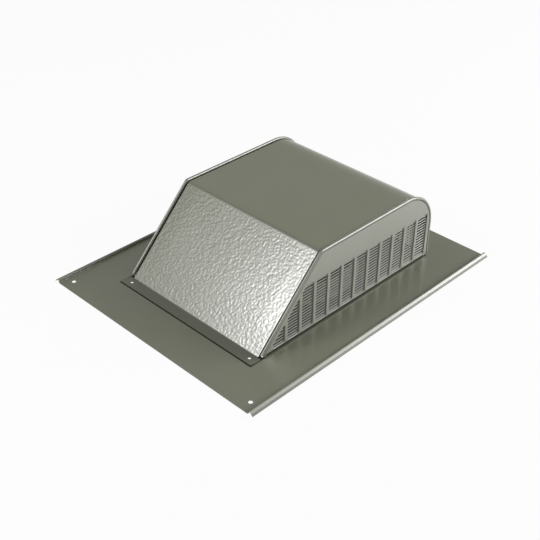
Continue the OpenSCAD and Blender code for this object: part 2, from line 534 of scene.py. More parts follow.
class SlatField(NodeRecipe):
    """Sets cambered slats in columns of slots, each slat cut to the room that its slot has.

    X runs along the sheet, Y goes into it from its outer face, and Z goes up.
    """

    INPUTS = (
        "Columns", "Rows", "Column pitch", "Row pitch", "Slot length", "Field end", "Rail height",
        "Slant start", "Slant run", "Shortest", "Blade width", "Blade thickness", "Blade angle",
        "Camber", "Setback",
    )
    BLADE_POINTS = 5

    def __init__(self) -> None:
        """Builds the tree."""
        super().__init__("slat_field", self.INPUTS)
        put, tree = self.put, self.tree
        grid = add(tree, "GeometryNodeMeshGrid", {
            "Size X": 1.0, "Size Y": 1.0, "Vertices X": put["Columns"], "Vertices Y": put["Rows"],
        })
        place = add(tree, "ShaderNodeSeparateXYZ", {0: add(tree, "GeometryNodeInputPosition")})
        column = self.step(place.outputs[0], put["Columns"])
        row = self.step(place.outputs[1], put["Rows"])
        back = add(tree, "ShaderNodeMath", {"operation": "MULTIPLY", 0: column, 1: put["Column pitch"]})
        end = add(tree, "ShaderNodeMath", {"operation": "SUBTRACT", 0: put["Field end"], 1: back})
        middle = add(tree, "ShaderNodeMath", {"operation": "ADD", 0: row, 1: 0.5})
        height = add(tree, "ShaderNodeMath", {
            "operation": "MULTIPLY_ADD", 0: middle, 1: put["Row pitch"], 2: put["Rail height"],
        })
        slant = add(tree, "ShaderNodeMath", {
            "operation": "MULTIPLY_ADD", 0: height, 1: put["Slant run"], 2: put["Slant start"],
        })
        first = add(tree, "ShaderNodeMath", {"operation": "SUBTRACT", 0: end, 1: put["Slot length"]})
        start = add(tree, "ShaderNodeMath", {"operation": "MAXIMUM", 0: first, 1: slant})
        room = add(tree, "ShaderNodeMath", {"operation": "SUBTRACT", 0: end, 1: start})
        sized = add(tree, "GeometryNodeStoreNamedAttribute", {
            "data_type": "FLOAT", "domain": "POINT", "Geometry": grid, "Name": "length", "Value": room,
        })
        sine = add(tree, "ShaderNodeMath", {"operation": "SINE", 0: put["Blade angle"]})
        rise = add(tree, "ShaderNodeMath", {
            "operation": "MULTIPLY_ADD", 0: put["Blade width"], 1: sine, 2: put["Blade thickness"],
        })
        low = add(tree, "ShaderNodeMath", {"operation": "MULTIPLY_ADD", 0: rise, 1: -0.5, 2: height})
        spot = add(tree, "ShaderNodeCombineXYZ", {0: start, 1: put["Setback"], 2: low})
        placed = add(tree, "GeometryNodeSetPosition", {"Geometry": sized, "Position": spot})
        length = add(tree, "GeometryNodeInputNamedAttribute", {"data_type": "FLOAT", "Name": "length"})
        short = add(tree, "ShaderNodeMath", {"operation": "LESS_THAN", 0: length, 1: put["Shortest"]})
        kept = add(tree, "GeometryNodeDeleteGeometry", {
            "domain": "POINT", "Geometry": placed, "Selection": short,
        })
        stretch = add(tree, "ShaderNodeCombineXYZ", {0: length, 1: 1.0, 2: 1.0})
        self.close(add(tree, "GeometryNodeInstanceOnPoints", {
            "Points": kept, "Instance": self.blade(), "Scale": stretch,
        }))

    def step(self, share: Any, count: Any) -> Any:
        """Turns a place on the unit grid into a whole number of steps.

        Args:
            share: The place, from -0.5 to 0.5.
            count: How many places there are.

        Returns:
            The node of the number, from 0.
        """
        low = add(self.tree, "ShaderNodeMath", {"operation": "ADD", 0: share, 1: 0.5})
        steps = add(self.tree, "ShaderNodeMath", {"operation": "SUBTRACT", 0: count, 1: 1.0})
        return add(self.tree, "ShaderNodeMath", {"operation": "MULTIPLY", 0: low, 1: steps})

    def blade(self) -> Any:
        """Adds one cambered blade, 1 m long.

        Returns:
            Its last node.
        """
        put, tree = self.put, self.tree
        flat = add(tree, "GeometryNodeMeshGrid", {
            "Size X": 1.0, "Size Y": put["Blade width"], "Vertices X": 2,
            "Vertices Y": self.BLADE_POINTS,
        })
        place = add(tree, "ShaderNodeSeparateXYZ", {0: add(tree, "GeometryNodeInputPosition")})
        half = add(tree, "ShaderNodeMath", {"operation": "MULTIPLY", 0: put["Blade width"], 1: 0.5})
        across = add(tree, "ShaderNodeMath", {"operation": "DIVIDE", 0: place.outputs[1], 1: half})
        square = add(tree, "ShaderNodeMath", {"operation": "POWER", 0: across, 1: 2.0})
        fall = add(tree, "ShaderNodeMath", {"operation": "SUBTRACT", 0: 1.0, 1: square})
        arch = add(tree, "ShaderNodeMath", {"operation": "MULTIPLY", 0: fall, 1: put["Camber"]})
        shift = add(tree, "ShaderNodeCombineXYZ", {0: 0.5, 1: half, 2: arch})
        bent = add(tree, "GeometryNodeSetPosition", {"Geometry": flat, "Offset": shift})
        walls = add(tree, "GeometryNodeExtrudeMesh", {
            "mode": "FACES", "Individual": False, "Mesh": bent, "Offset Scale": put["Blade thickness"],
        })
        both = add(tree, "GeometryNodeJoinGeometry", {0: add(tree, "GeometryNodeFlipFaces", {0: bent})})
        tree.links.new(walls.outputs[0], both.inputs[0])
        whole = add(tree, "GeometryNodeMergeByDistance", {"Geometry": both, "Distance": WELD_M})
        turn = add(tree, "ShaderNodeCombineXYZ", {0: put["Blade angle"]})
        return add(tree, "GeometryNodeTransform", {"Geometry": whole, "Rotation": turn})


@dataclass(frozen=True)
class BakedEnamel:
    """Semi-gloss baked polyester enamel, roller coated on galvanised sheet steel before pressing.

    It gives an even olive grey with soft white reflections, and a faint orange peel.
    """

    name: str
    colour: str = "#858872"
    shade: str = "#7e816b"
    roughness: float = 0.3
    roughness_swing: float = 0.05
    ior: float = 1.8
    level: float = 1.0
    coat: float = 0.3
    coat_roughness: float = 0.15
    cloud_mm: float = 60.0
    cloud_detail: float = 4.0
    peel_mm: float = 3.0
    peel_detail: float = 2.0
    peel_depth_mm: float = 0.02

    def material(self) -> bpy.types.Material:
        """Builds the material.

        Returns:
            The material.
        """
        made = bpy.data.materials.new(self.name)
        tree = cleared(made)
        place = add(tree, "ShaderNodeTexCoord").outputs["Object"]
        cloud = add(tree, "ShaderNodeTexNoise", {
            "Vector": place, "Scale": 1 / (self.cloud_mm * MM), "Detail": self.cloud_detail,
        })
        tint = add(tree, "ShaderNodeMix", {
            "data_type": "RGBA", 0: cloud, 6: linear(self.shade), 7: linear(self.colour),
        })
        gloss = add(tree, "ShaderNodeMapRange", {
            0: cloud, 3: self.roughness - self.roughness_swing, 4: self.roughness + self.roughness_swing,
        })
        peel = add(tree, "ShaderNodeTexNoise", {
            "Vector": place, "Scale": 1 / (self.peel_mm * MM), "Detail": self.peel_detail,
        })
        bump = add(tree, "ShaderNodeBump", {
            "Height": peel.outputs[0], "Strength": 1.0, "Distance": self.peel_depth_mm * MM,
        })
        shader = add(tree, "ShaderNodeBsdfPrincipled", {
            "Base Color": tint.outputs[2], "Roughness": gloss, "Normal": bump, "Metallic": 0.0,
            "IOR": self.ior, "Specular IOR Level": self.level,
            "Coat Weight": self.coat, "Coat Roughness": self.coat_roughness,
        })
        add(tree, "ShaderNodeOutputMaterial", {0: shader})
        return made


@dataclass(frozen=True)
class ShearedZinc:
    """Bare galvanised steel where the shears cut the coated sheet: a thin bright grey line."""

    name: str = "sheared_zinc_edge"
    colour: str = "#9a9b94"
    roughness: float = 0.45
    roughness_swing: float = 0.1
    metallic: float = 0.9
    burr_mm: float = 1.2

    def material(self) -> bpy.types.Material:
        """Builds the material.

        Returns:
            The material.
        """
        made = bpy.data.materials.new(self.name)
        tree = cleared(made)
        place = add(tree, "ShaderNodeTexCoord").outputs["Object"]
        burr = add(tree, "ShaderNodeTexNoise", {"Vector": place, "Scale": 1 / (self.burr_mm * MM)})
        rough = add(tree, "ShaderNodeMapRange", {
            0: burr, 3: self.roughness - self.roughness_swing, 4: self.roughness + self.roughness_swing,
        })
        shader = add(tree, "ShaderNodeBsdfPrincipled", {
            "Base Color": linear(self.colour), "Metallic": self.metallic, "Roughness": rough,
        })
        add(tree, "ShaderNodeOutputMaterial", {0: shader})
        return made


class Workshop:
    """The finishes, node trees and tools that the pieces share."""

    RIM_SLOT = 1
    REVERSE_SLOT = 2
    PUNCH_L = 12 * MM

    def __init__(self) -> None:
        """Builds them."""
        # Flat stock: rougher, so that the roof sheet shows one broad, soft reflection, and darker olive
        # than the other sheets as painted shade for the dimmer light on the roof.
        self.flashing = BakedEnamel(
            "baked_enamel_flat_sheet_painted_shade", colour="#7f826d", shade="#777a66", roughness=0.42
        ).material()
        # Embossed stock: glossy, so that each pebble of the slanted back catches its own white glint.
        self.hood = BakedEnamel("baked_enamel_embossed_sheet", peel_mm=2.4, peel_depth_mm=0.03).material()
        # Pressed stock: a little greyer, with blurred reflections, so that the slats stay matt.
        self.louver = BakedEnamel(
            "baked_enamel_pressed_sheet", colour="#858879", shade="#7e8172", roughness=0.38,
            coat_roughness=0.25, peel_mm=2.0, peel_depth_mm=0.05,
        ).material()
        # Painted shade: a dark olive enamel for the foot's bends, the ribs' outer faces, the front slats
        # and the collar, where shade falls.
        self.painted_shade = BakedEnamel(
            "painted_shade_enamel", colour="#5c5e4f", shade="#505244", roughness=0.5, ior=1.5, coat=0.0
        ).material()
        # The nailing flange: a darker copy of the enamel, painted shade for the band below the embossed
        # back.
        self.flange = BakedEnamel(
            "painted_shade_nailing_flange", colour="#6c6f5e", shade="#646756"
        ).material()
        # The wash coat on the reverse of every sheet, made nearly black as painted shade, and put on
        # shaded places so that gaps and seams look deep.
        self.wash_and_shade = BakedEnamel(
            "painted_shade_wash_coat", colour="#2c2d27", shade="#242520", roughness=0.6, ior=1.45,
            level=0.5, coat=0.0,
        ).material()
        # Cut edges: thin bright lines round the holes and along the sheets' ends.
        self.edge = ShearedZinc().material()
        self.surface = PressedSurface()
        self.roll = RolledEdge()
        self.slats = SlatField()

    def thicken(self, made: bpy.types.Object, material: bpy.types.Material) -> None:
        """Gives a sheet its finishes and its thickness, inwards, with bare edges.

        Args:
            made: The sheet's outer side.
            material: The outer side's finish. The reverse gets the wash coat, nearly black as painted
                shade.
        """
        for layer in (material, self.edge, self.wash_and_shade):
            made.data.materials.append(layer)
        solid = made.modifiers.new("thickness", "SOLIDIFY")
        solid.thickness, solid.offset = SHEET_T, -1.0
        solid.use_even_offset = solid.use_quality_normals = True
        solid.material_offset, solid.material_offset_rim = self.REVERSE_SLOT, self.RIM_SLOT

    def press(self, made: bpy.types.Object, material: bpy.types.Material, sizes: Sequence[float]) -> None:
        """Gives a sheet its grain, waves, finish and thickness.

        Args:
            made: The sheet's outer side.
            material: Its finish.
            sizes: Grain width and depth, then wave length and depth, in metres.
        """
        self.surface.apply(made, {**dict(zip(self.surface.INPUTS, sizes)), "Material": material})
        self.thicken(made, material)

    def punch(self, made: bpy.types.Object, holes: Sequence[tuple[Point, float, int]]) -> bpy.types.Object:
        """Punches round holes with bare edges and bakes the sheet.

        Args:
            made: A sheet with its finishes, which is removed.
            holes: X and Y, radius and number of straight sides of each hole.

        Returns:
            The punched sheet.
        """
        bm = bmesh.new()
        for spot, radius, sides in holes:
            bmesh.ops.create_cone(
                bm, cap_ends=True, segments=sides, radius1=radius, radius2=radius, depth=self.PUNCH_L,
                matrix=Matrix.Translation((*spot, 0)),
            )
        mesh = bpy.data.meshes.new("punches")
        bm.to_mesh(mesh)
        bm.free()
        for layer in made.data.materials:
            mesh.materials.append(layer)
        for face in mesh.polygons:
            face.material_index = self.RIM_SLOT
        cutter = linked("punches", mesh)
        cut = made.modifiers.new("holes", "BOOLEAN")
        cut.operation, cut.solver, cut.object = "DIFFERENCE", "EXACT", cutter
        punched = bake(made)
        bpy.data.objects.remove(cutter)
        return punched


def hand_over(made: bpy.types.Object, node: str) -> None:
    """Lets a finished piece stand for a CAD node, on the vent's body.

    Args:
        made: The piece.
        node: The CAD node that it replaces.
    """
    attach(made, BODY)
    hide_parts(node)
    LOG.info("%s: %d faces, for %s", made.name, len(made.data.polygons), node)


@dataclass
class Flashing:
    """The flat sheet that lies on the roof, with a water rib along each side edge."""

    shop: Workshop
    rib_w: float = 9.4 * MM
    rib: tuple[Point, ...] = (
        (8.5 * MM, 4.0 * MM), (7.0 * MM, 5.4 * MM), (5.4 * MM, 5.4 * MM), (2.2 * MM, 2.9 * MM)
    )
    rib_bend_r: float = 1.2 * MM
    rib_shade_w: float = 2.3 * MM
    nail_hole_d: float = 6.3 * MM
    nail_inset: Point = (21.5 * MM, 17.5 * MM)
    hole_sides: int = 32
    flange: NailingFlange = NailingFlange()
    throat_sides: int = 96
    throat_hole_r: float = 102.3 * MM
    throat_y: float = 22.0 * MM
    step: float = 5.0 * MM
    no_grain: Point = (1.0, 0.0)
    wave: Point = (95.0 * MM, 0.45 * MM)
    wave_margin: float = 26.0 * MM
    painted_shade_box: Place = (138.0 * MM, -187.0 * MM, 188.0 * MM)

    def build(self) -> None:
        """Builds the sheet and punches its holes."""
        low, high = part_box("flashing")
        columns = self.section(high.x)
        sheet = SheetMesh()
        sheet.patch([[(x, y, z) for x, z in columns] for y in spaced(low.y, high.y, self.step)])
        flat_x = high.x - self.rib_w

        def calm(point: Vector) -> float:
            """Keeps the waves away from the ribs and the ends."""
            across, along = flat_x - abs(point.x), high.y - abs(point.y)
            return ease(across, self.wave_margin) * ease(along, self.wave_margin)

        made = sheet.finish("flashing_sheet", Vector((0, 0, 1)), {"wave": calm})
        self.shop.press(made, self.shop.flashing, (*self.no_grain, *self.wave))
        made = self.shop.punch(made, self.holes(high))
        # Painted shade: the near-black wash on the sheet under the hood and along the seams round it.
        coat(made, self.shop.wash_and_shade, self.in_painted_shade)
        # Painted shade: the dark enamel on the ribs' steep outer faces.
        coat(made, self.shop.painted_shade, lambda point: abs(point.x) > high.x - self.rib_shade_w)
        hand_over(made, "flashing")

    def in_painted_shade(self, point: Vector) -> bool:
        """Says whether a point of the sheet gets painted shade: under the hood, and out to the seams round
        it.
        """
        wide, near, far = self.painted_shade_box
        return abs(point.x) < wide and near < point.y < far

    def section(self, edge_x: float) -> list[Point]:
        """Section of the sheet from edge to edge, with its bends rounded.

        Args:
            edge_x: Half the sheet's width.

        Returns:
            X and Z of the upper face's points.
        """
        crest = [(edge_x - inset, SHEET_T + rise) for inset, rise in self.rib]
        right = [(0.0, SHEET_T), (edge_x - self.rib_w, SHEET_T), *crest, (edge_x, SHEET_T)]
        bent = fillet(right, self.rib_bend_r, BEND_STEPS)
        inner = [(x, SHEET_T) for x in spaced(0.0, bent[1][0], self.step)[1:-1]]
        half = inner + bent[1:]
        return [(-x, z) for x, z in reversed(half)] + [(0.0, SHEET_T)] + half

    def holes(self, high: Vector) -> list[tuple[Point, float, int]]:
        """The nail holes, the holes under the hood's flange and the throat.

        Args:
            high: The sheet's upper corner.

        Returns:
            X and Y, radius and number of sides of each.
        """
        nail = (high.x - self.nail_inset[0], self.nail_inset[1] - high.y)
        pairs = ((nail, self.nail_hole_d), (self.flange.hole, self.flange.hole_d))
        made = [
            ((side.value * x, y), width / 2, self.hole_sides) for side in Side for (x, y), width in pairs
        ]
        return [*made, ((0.0, self.throat_y), self.throat_hole_r, self.throat_sides)]


@dataclass
class HoodCover:
    """The folded sheet of the hood: nailing flange, embossed slanted back, top, nose and upper front."""

    shop: Workshop
    outline: HoodOutline
    fold: SideFold = SideFold()
    flange: NailingFlange = NailingFlange()
    flange_x: float = 136.2 * MM
    flange_y: float = -187.5 * MM
    flange_clear: float = 1.0 * MM
    hole_sides: int = 32
    end_z: float = 50.16 * MM
    foot_r: float = 2.0 * MM
    foot_reach: float = 10.0 * MM
    fold_shade_z: float = 3.0 * MM
    lift: float = 0.9 * MM
    fine: float = 1.2 * MM
    coarse: float = 12.0 * MM
    nose_step: float = 5.0 * MM
    grain: Point = (3.0 * MM, 0.22 * MM)
    grain_fade: float = 7.0 * MM
    grain_bend: float = 0.4
    grain_off: Point = (0.6 * MM, 1.0 * MM)
    grain_foot: Point = (1.5 * MM, 3.0 * MM)
    grain_side: Point = (0.5 * MM, 2.5 * MM)
    wave: Point = (110.0 * MM, 0.5 * MM)
    wave_low: float = 6.0 * MM
    wave_fade: Place = (30.0 * MM, 30.0 * MM, 40.0 * MM)

    def build(self) -> None:
        """Builds the sheet, embosses its slanted back and punches the flange's holes."""
        sheet = SheetMesh()
        columns = self.columns()
        rows = self.rows()
        foot_z = self.foot_end()[1]
        flange_top = self.outline.base_z + SHEET_T

        def place(row: tuple[Stretch, float], x: float, out: float) -> Place:
            """Finds where a row of the outline crosses a column of the sheet's section.

            Args:
                row: The row's stretch and share.
                x: The column's X.
                out: How far outside the outline the column lies.

            Returns:
                The point.
            """
            start = foot_z + (flange_top - foot_z) * min(1.0, -out / self.fold.edge_r)
            low_z = start if row[0] is Stretch.SLANT else self.end_z
            y, z = self.outline.point(*row, out, low_z)
            return x, y, z

        sheet.patch([[place(row, x, out) for x, out in columns] for row in rows])
        inner = [x for x, out in columns if out == 0.0]
        bend = self.foot_line()
        flat = []
        for y in reversed(spaced(self.flange_y, bend[0][0], self.coarse / 4)):
            share = (bend[0][0] - y) / (bend[0][0] - self.flange_y)
            flat.append((y, flange_top + self.lift * share * share))
        sheet.patch([[(x, y, z) for x in inner] for y, z in [*reversed(bend), *flat[1:]]])
        for side in Side:
            ears = [side.value * x for x in spaced(inner[-1], self.flange_x, self.coarse)]
            sheet.patch([[(x, y, z) for x in ears] for y, z in flat])
        made = sheet.finish("hood_skin", Vector((0, 0, 1)), {"grain": self.embossed, "wave": self.calm})
        self.shop.press(made, self.shop.hood, (*self.grain, *self.wave))
        spots = [(side.value * self.flange.hole[0], self.flange.hole[1]) for side in Side]
        made = self.shop.punch(made, [(spot, self.flange.hole_d / 2, self.hole_sides) for spot in spots])
        # Painted shade: the near-black wash in the side grooves above a small height, so that they read
        # deep.
        wide, low = self.fold.cover_x + HAIR, self.outline.base_z + self.fold_shade_z
        coat(made, self.shop.wash_and_shade, lambda point: abs(point.x) > wide and point.z > low)
        # Painted shade: the nailing flange gets the darker copy of the enamel.
        flange_end = self.outline.foot_y - self.flange_clear
        coat(made, self.shop.flange, lambda point: point.y < flange_end)
        hand_over(made, "hood_cover")

    def columns(self) -> list[Point]:
        """Section of the sheet, from one lap flange over the face to the other.

        Returns:
            X and height above the outline of its points.
        """
        right = [(x, -depth) for x, depth in self.fold.line(0.0)[1:]]
        face = [(x, 0.0) for x in spaced(-self.fold.flat_x, self.fold.flat_x, self.fine)]
        return [(-x, out) for x, out in reversed(right)] + face + right

    def rows(self) -> list[tuple[Stretch, float]]:
        """Rows along the outline, close together where the sheet is embossed or bent.

        Returns:
            The stretch and the share of each.
        """
        line = self.outline
        steps = (
            self.fine / (line.slant_run / math.cos(line.slant)),
            self.fine / (line.bend_r * line.slant),
            self.coarse / (line.nose_centre[0] - line.slant_y(line.top_z, 0)),
            self.nose_step / (line.nose_r * math.pi / 2),
            self.coarse / (line.nose_centre[1] - self.end_z),
        )
        return [(Stretch.SLANT, 0.0), *stations(steps)]

    def foot_line(self) -> list[Point]:
        """The round between the flange and the slanted back.

        Returns:
            Y and Z of its points.
        """
        low = self.outline.base_z + SHEET_T
        corner = (self.outline.slant_y(low, 0), low)
        high = self.outline.base_z + self.foot_reach
        run = [(corner[0] - self.foot_reach, low), corner, (self.outline.slant_y(high, 0), high)]
        return fillet(run, self.foot_r, BEND_STEPS)[1:-1]

    def foot_end(self) -> Point:
        """Where that round meets the slanted back."""
        return self.foot_line()[-1]

    def embossed(self, point: Vector) -> float:
        """Keeps the roller grain on the slanted back.

        Args:
            point: A point of the sheet.

        Returns:
            How strongly the grain shows there, from 0 to 1.
        """
        line = self.outline
        reach = point.y * math.cos(line.slant) + point.z * math.sin(line.slant)
        off = abs(point.y - line.slant_y(point.z, 0)) * math.sin(line.slant)
        foot = Vector((0, *self.foot_end()))
        head = line.point(Stretch.SLANT, 1.0, 0.0, 0.0)
        along = reach - (foot.y * math.cos(line.slant) + foot.z * math.sin(line.slant))
        end = head[0] * math.cos(line.slant) + head[1] * math.sin(line.slant)
        left = end + line.bend_r * self.grain_bend - reach
        side = self.fold.cover_x - abs(point.x)
        return (
            (1.0 - ease(off - self.grain_off[0], self.grain_off[1]))
            * ease(along + self.grain_foot[0], self.grain_foot[1])
            * ease(left, self.grain_fade)
            * ease(side - self.grain_side[0], self.grain_side[1])
        )

    def calm(self, point: Vector) -> float:
        """Keeps the waves away from the side folds, the flange and the front.

        Args:
            point: A point of the sheet.

        Returns:
            How strongly the sheet waves there, from 0 to 1.
        """
        across, up, along = self.wave_fade
        return (
            ease(self.fold.cover_x - abs(point.x), across)
            * ease(point.z - self.outline.base_z - self.wave_low, up)
            * ease(self.outline.front_y - point.y, along)
        )


@dataclass
class LouverSheet:
    """A pressed sheet with columns of round-lipped slots that each hold a field of slats.

    X runs along the sheet, Y goes into it from its outer face, and Z goes up from the flashing.
    """

    TOUCH: ClassVar[float] = 1e-8

    shop: Workshop
    name: str
    border: list[Point]
    columns: int
    rows: int
    field_end: float
    slant_start: float = -1.0
    slant_run: float = 0.0
    slot_l: float = 21.9 * MM
    column_pitch: float = 27.9 * MM
    row_pitch: float = 4.74 * MM
    rail_h: float = 5.8 * MM
    lip_r: float = 0.9 * MM
    corner_r: float = 1.1 * MM
    pocket_d: float = 3.7 * MM
    setback: float = 1.2 * MM
    corner_steps: int = 5
    lip_steps: int = 4
    shortest: float = 1.5 * MM
    blade_w: float = 1.4 * MM
    blade_t: float = 0.45 * MM
    blade_angle: float = math.radians(33)
    camber: float = 0.04 * MM
    margin: float = 0.45 * MM

    def windows(self) -> list[list[Point]]:
        """The slot columns, cut off along the slanted back.

        Returns:
            The corners of each, anticlockwise.
        """
        top = self.rail_h + self.rows * self.row_pitch
        made = []
        for i in range(self.columns):
            end = self.field_end - i * self.column_pitch
            start = end - self.slot_l
            box = [(start, self.rail_h), (end, self.rail_h), (end, top), (start, top)]
            made.append(self.cut(box))
        return made

    def cut(self, box: list[Point]) -> list[Point]:
        """Cuts a convex outline along the slanted back.

        Args:
            box: Its corners.

        Returns:
            The corners of what is left of it.
        """
        made = []
        for (x0, z0), (x1, z1) in zip(box, box[1:] + box[:1]):
            clear0 = x0 - self.slant_start - z0 * self.slant_run
            clear1 = x1 - self.slant_start - z1 * self.slant_run
            if clear0 >= 0:
                made.append((x0, z0))
            if clear0 * clear1 < 0:
                share = clear0 / (clear0 - clear1)
                made.append((x0 + (x1 - x0) * share, z0 + (z1 - z0) * share))
        return made

    def ring(self, window: list[Point], grow: float) -> list[Point]:
        """Outline of a window with round corners.

        Args:
            window: The window's corners.
            grow: How far the outline is moved outwards.

        Returns:
            The outline's points.
        """
        made = []
        corners = [Vector(p) for p in window]
        for last, corner, following in zip(corners[-1:] + corners, corners, corners[1:] + corners[:1]):
            before, after = (corner - last).normalized(), (following - corner).normalized()
            out0, out1 = Vector((before[1], -before[0])), Vector((after[1], -after[0]))
            core = corner - (out0 + out1) * (self.corner_r / (1 + out0.dot(out1)))
            turn = out0.angle(out1)
            for i in range(self.corner_steps + 1):
                out = swing(out0, out1, turn, i / self.corner_steps)
                made.append(tuple(core + out * (self.corner_r + grow)))
        return made

    def sheet(self) -> SheetMesh:
        """Builds the sheet's outer face, its lips and the walls of its pockets.

        Returns:
            The sheet, still open to further patches.
        """
        made = SheetMesh()
        quarter = [math.pi / 2 * i / self.lip_steps for i in range(self.lip_steps + 1)]
        lip = [(self.lip_r * (1 - math.sin(a)), self.lip_r * (1 - math.cos(a))) for a in quarter]
        section = [(self.lip_r + self.margin, 0.0), *lip, (0.0, self.pocket_d)]
        rims = []
        for window in self.windows():
            rings = [[(x, depth, z) for x, z in self.ring(window, grow)] for grow, depth in section]
            made.bands(rings)
            rims.append([(x, z) for x, _, z in rings[0]])
        made.triangles(*self.face(rims))
        return made

    def face(self, rims: list[list[Point]]) -> tuple[list[tuple[float, float, float]], list[list[int]]]:
        """Fills the flat face between its border and the rims of its windows.

        Args:
            rims: The outline of each window's rim.

        Returns:
            The points and the triangles.
        """
        points, edges = [], []
        for loop in [self.border, *rims]:
            first = len(points)
            points += [Vector(p) for p in loop]
            edges += [(first + i, first + (i + 1) % len(loop)) for i in range(len(loop))]
        found, _, faces, *_ = delaunay_2d_cdt(points, edges, [], 0, self.TOUCH)

        def solid(face: Sequence[int]) -> bool:
            """Says whether a triangle lies outside every window."""
            middle = sum((found[i] for i in face), Vector((0, 0))) / len(face)
            return not any(inside(middle, rim) for rim in rims)

        return [(p[0], 0.0, p[1]) for p in found], [face for face in faces if solid(face)]

    def slats(self, place: Matrix, mirrored: bool, material: bpy.types.Material) -> bpy.types.Object:
        """Builds the slats of every slot.

        Args:
            place: Where they go.
            mirrored: True for the left side.
            material: Their finish.

        Returns:
            The piece.
        """
        host = linked(self.name + "_slats", bpy.data.meshes.new(self.name + "_slats"))
        self.shop.slats.apply(host, {
            "Columns": self.columns, "Rows": self.rows, "Column pitch": self.column_pitch,
            "Row pitch": self.row_pitch, "Slot length": self.slot_l, "Field end": self.field_end,
            "Rail height": self.rail_h, "Slant start": self.slant_start, "Slant run": self.slant_run,
            "Shortest": self.shortest, "Blade width": self.blade_w, "Blade thickness": self.blade_t,
            "Blade angle": self.blade_angle, "Camber": self.camber, "Setback": self.setback,
            "Material": material,
        })
        return bake(host, place, mirrored)


def inside(point: Vector, loop: Sequence[Point]) -> bool:
    """Says whether a point lies inside a convex loop that runs anticlockwise."""
    corners = [Vector(p) for p in loop]
    return all((b - a).cross(point - a) > -NOUGHT for a, b in zip(corners, corners[1:] + corners[:1]))


@dataclass
class SideLouver:
    """A side of the hood: a slotted sheet whose edge is rolled round a wire."""

    shop: Workshop
    outline: HoodOutline
    side: Side
    sheet_x: float = 136.2 * MM
    wire_x: float = 134.7 * MM
    wire_r: float = 2.3 * MM
    wire_rise: float = 0.5 * MM
    wire_end: float = 4.5 * MM
    crease_shade_r: float = 0.5 * MM
    crease_shade_in: float = 1.7 * MM
    bend_r: float = 4.3 * MM
    slot_margin: float = 8.6 * MM
    columns: int = 12
    rows: int = 15
    border_counts: tuple[int, ...] = (1, 6, 1, 24, 1)
    sweep_counts: tuple[int, ...] = (2, 10, 2, 32, 2)
    hem: Point = (2.6 * MM, 7.0 * MM)
    foot: Point = (12.0 * MM, 8.0 * MM)

    def build(self) -> None:
        """Builds the sheet with its hem and foot, the slats and the wired edge."""
        node = f"side_louver_{self.side.name.lower()}"
        line, base = self.outline, self.outline.base_z
        mirrored = self.side is Side.LEFT
        place = Matrix.Translation((self.sheet_x, 0, base)) @ Matrix.Rotation(math.pi / 2, 4, "Z")
        panel = LouverSheet(
            self.shop, f"{node}_sheet", self.border(), self.columns, self.rows,
            field_end=line.front_y - self.slot_margin,
            slant_start=line.slant_y(base, -self.slot_margin),
            slant_run=1 / math.tan(line.slant),
        )
        sheet = panel.sheet()
        start, end = line.foot_y, line.front_y
        run = [(0.0, self.bend_r), (0.0, 0.0), (self.foot[0], 0.0)]
        sheet.patch([[(x, depth, z) for x in (start + self.foot[1], end - self.foot[1])]
                     for depth, z in fillet(run, self.bend_r - WELD_M, BEND_STEPS)])
        sheet.patch([[(x, y, SHEET_T) for x in (start + self.hem[1], end - self.hem[1])]
                     for y in (SHEET_T, -self.hem[0])])
        made = sheet.finish(panel.name, Vector((0, -1, 0)), {})
        self.shop.thicken(made, self.shop.louver)
        made = bake(made, place, mirrored)
        # Painted shade: the foot's bend gets the dark enamel, along the seam with the flashing.
        coat(made, self.shop.painted_shade, lambda point: point.z < base + self.bend_r - WELD_M)
        hand_over(made, node)
        hand_over(panel.slats(place, mirrored, self.shop.louver), node)
        # The second line is a thin near-black tube laid in the crease under the wire: painted shade.
        for name, *rest in (
            ("wired_edge", self.wire_x, self.wire_rise, self.wire_r, self.shop.louver),
            ("crease_shade_line", self.sheet_x - self.crease_shade_r / 2, -self.crease_shade_in, self.crease_shade_r, self.shop.wash_and_shade),
        ):
            hand_over(self.sweep(f"{node}_{name}", *rest), node)

    def border(self) -> list[Point]:
        """Outline of the sheet above its foot's bend, out to the middle of its wire.

        Returns:
            Its points, anticlockwise.
        """
        line = self.outline
        rows = stations([1 / count for count in self.border_counts])
        low = line.base_z + self.bend_r
        points = [line.point(Stretch.SLANT, 0.0, self.wire_rise, low)]
        points += [line.point(*row, self.wire_rise, low) for row in rows]
        points += [Vector((line.front_y - self.foot[1], low)), Vector((line.foot_y + self.foot[1], low))]
        return [(y, z - line.base_z) for y, z in reversed(points)]

    def sweep(
        self, name: str, x: float, out: float, radius: float, material: bpy.types.Material
    ) -> bpy.types.Object:
        """Builds a round line from the foot of the slanted back to the bottom of the front.

        Args:
            name: The piece's name.
            x: How far from the middle of the vent the line runs.
            out: How far outside the hood's outline it runs.
            radius: Its radius.
            material: Its finish.

        Returns:
            The piece.
        """
        line = self.outline
        rows = stations([1 / count for count in self.sweep_counts])
        points = [line.point(Stretch.SLANT, 0.0, out, line.base_z + self.bend_r)]
        points += [line.point(*row, out, line.base_z + self.wire_end) for row in rows]
        curve = bpy.data.curves.new(name, "CURVE")
        curve.dimensions = "3D"
        path = curve.splines.new("POLY")
        path.points.add(len(points) - 1)
        for spot, (y, z) in zip(path.points, points):
            spot.co = (self.side.value * x, y, z, 1.0)
        made = linked(name, curve)
        self.shop.roll.apply(made, {"Wire radius": radius, "Material": material})
        return bake(made)


